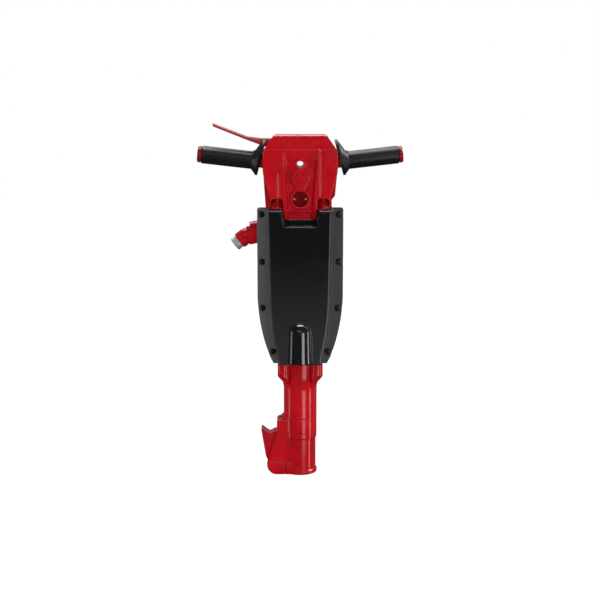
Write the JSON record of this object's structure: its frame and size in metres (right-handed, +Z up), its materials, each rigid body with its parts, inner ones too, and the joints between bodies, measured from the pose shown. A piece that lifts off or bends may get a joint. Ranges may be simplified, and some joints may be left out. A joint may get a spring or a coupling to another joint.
{
  "type": "paving breaker",
  "caption": "Hand-held air paving breaker with T handles, squeeze lever, swivel air inlet, bolted two-shell muffler and a kick-open latch retainer on the chuck.",
  "frame": {"origin": "centre of the chuck mouth, on the tool axis, at the bottom end of the fronthead", "axes": "+Z up along the tool axis to the head, +X to the right handle as seen from the front, +Y away from the front face"},
  "size_m": [0.4066, 0.166, 0.707],
  "materials": {
    "red_paint": "gloss",
    "red_paint_lever": "gloss",
    "black_moulding": "gloss",
    "grip_rubber": "matte",
    "dark_bolts": "satin",
    "machined_steel": "satin",
    "spring_steel": "satin",
    "gasket_fibre": "matte",
    "bronze": "satin"
  },
  "bodies": {
    "breaker_frame": {"fronthead": "red_paint", "chuck_bushing": "machined_steel", "latch_bolt": "red_paint", "latch_bolt_washer": "red_paint", "latch_spring": "spring_steel", "plunger_plug": "machined_steel", "fronthead_bolts": "dark_bolts", "fronthead_washers": "dark_bolts", "lower_anvil_bushing": "machined_steel", "upper_anvil_bushing": "machined_steel", "cylinder": "red_paint", "valve_box": "machined_steel", "valve_cap": "machined_steel", "valve_dowel": "machined_steel", "backhead_gasket": "gasket_fibre", "backhead": "red_paint", "backhead_studs": "dark_bolts", "backhead_washers": "dark_bolts", "backhead_nuts": "red_paint", "front_plug": "red_paint", "oil_plug": "red_paint", "lever_pin": "machined_steel", "throttle_bushing": "bronze", "throttle_spring": "spring_steel", "left_grip": "grip_rubber", "right_grip": "grip_rubber", "inlet_adapter": "machined_steel", "inlet_strainer": "bronze", "swivel_nut": "red_paint", "muffler_front_shell": "black_moulding", "muffler_rear_shell": "black_moulding", "muffler_bolts": "dark_bolts", "muffler_nuts": "dark_bolts"},
    "latch": {"latch_retainer": "red_paint"},
    "plunger": {"latch_plunger": "machined_steel"},
    "lever": {"throttle_lever": "red_paint_lever"},
    "valve": {"throttle_valve": "machined_steel"},
    "piston_body": {"piston": "machined_steel"},
    "anvil": {"anvil_block": "machined_steel"},
    "valve_plate_body": {"valve_plate": "machined_steel"},
    "inlet_fitting": {"swivel_elbow": "red_paint", "inlet_nipple": "machined_steel"}
  },
  "joints": [
    {"name": "latch_hinge", "type": "hinge", "parent": "breaker_frame", "child": "latch", "pos_m": [-0.046, 0, 0.0135], "axis": [0, -1, 0], "range_deg": [0, 62]},
    {"name": "plunger_slide", "type": "slide", "parent": "breaker_frame", "child": "plunger", "axis": [0, 0, 1], "range_m": [0, 0.003], "stiffness_N_per_m": 2000, "springref_m": -0.001, "deforming": ["latch_spring"]},
    {"name": "lever_hinge", "type": "hinge", "parent": "breaker_frame", "child": "lever", "pos_m": [-0.04, 0, 0.669], "axis": [0, -1, 0], "range_deg": [0, 13], "stiffness_Nm_per_rad": 6, "springref_deg": -5.73},
    {"name": "throttle_valve_slide", "type": "slide", "parent": "breaker_frame", "child": "valve", "axis": [0, 0, -1], "range_m": [0, 0.0037], "deforming": ["throttle_spring"]},
    {"name": "piston_slide", "type": "slide", "parent": "breaker_frame", "child": "piston_body", "axis": [0, 0, 1], "range_m": [0, 0.151]},
    {"name": "anvil_slide", "type": "slide", "parent": "breaker_frame", "child": "anvil", "axis": [0, 0, 1], "range_m": [0, 0.012]},
    {"name": "valve_plate_slide", "type": "slide", "parent": "breaker_frame", "child": "valve_plate_body", "axis": [0, 0, 1], "range_m": [0, 0.0014]},
    {"name": "inlet_swivel", "type": "hinge", "parent": "breaker_frame", "child": "inlet_fitting", "pos_m": [-0.05, 0.026, 0.4956], "axis": [-0.9781, 0, -0.2079], "continuous": true}
  ],
  "couplings": [
    {"joint": "throttle_valve_slide", "follows": "lever_hinge", "m_per_rad": 0.016}
  ]
}
